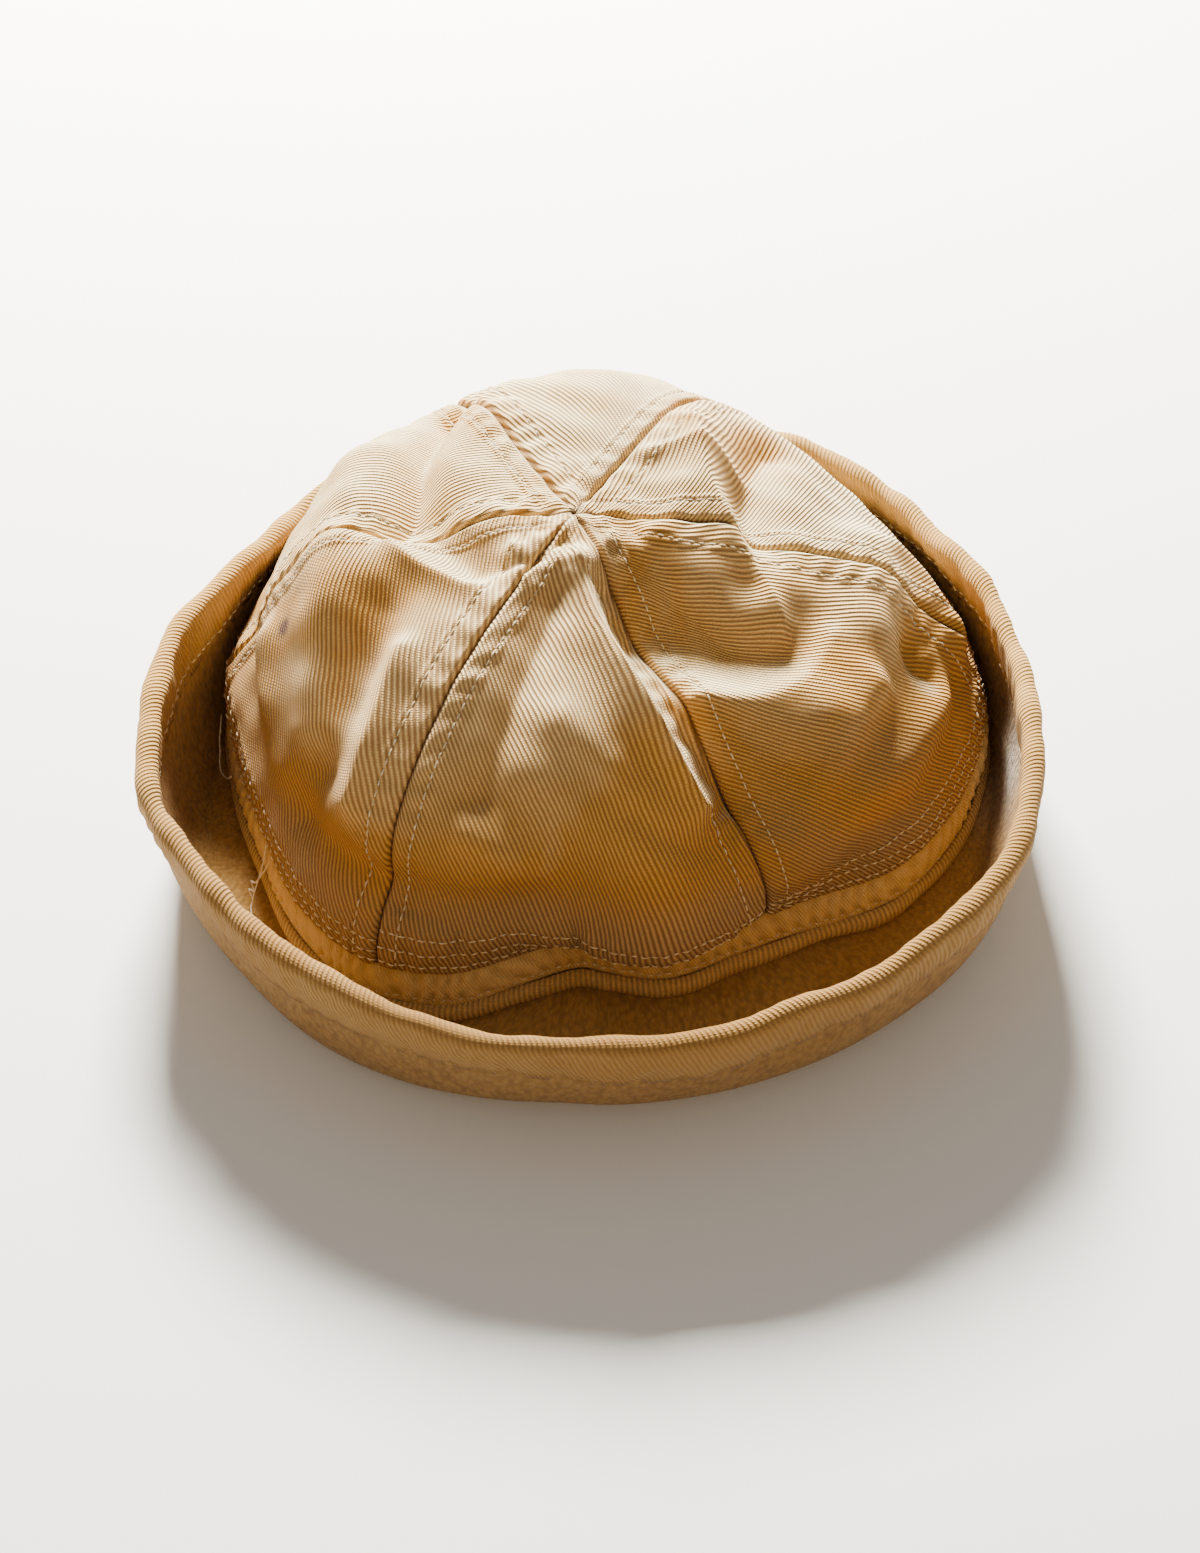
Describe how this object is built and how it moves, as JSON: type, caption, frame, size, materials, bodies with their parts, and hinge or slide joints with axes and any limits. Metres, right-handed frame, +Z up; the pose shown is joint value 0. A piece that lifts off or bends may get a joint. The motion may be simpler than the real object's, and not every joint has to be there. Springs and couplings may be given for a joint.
{
  "type": "sailor cap",
  "caption": "Soft twill sailor's cap: a dented dome of sewn gores on a stitched band, with a wide turned-up brim bound at its rim.",
  "frame": {"origin": "on the floor, under the middle of the cap as it rests on its brim", "axes": "+Z up out of the crown, -Y the side of the cap where the brim flares widest, +X to the right seen from that side"},
  "size_m": [0.2185, 0.2271, 0.0857],
  "materials": {
    "crown_twill": "worn cream cotton twill",
    "band_twill": "tan cotton twill, stitched and puckered",
    "brim_cloth": "brushed tan cotton, pebbly",
    "rim_twill": "tan cotton twill binding"
  },
  "bodies": {
    "root": {"crown_gore_front": "crown_twill", "crown_gore_front_right": "crown_twill", "crown_gore_back_right": "crown_twill", "crown_gore_back": "crown_twill", "crown_gore_back_left": "crown_twill", "crown_gore_front_left": "crown_twill", "crown_band": "band_twill", "band_welt": "band_twill", "brim": "brim_cloth", "rim_binding": "rim_twill"}
  },
  "joints": []
}
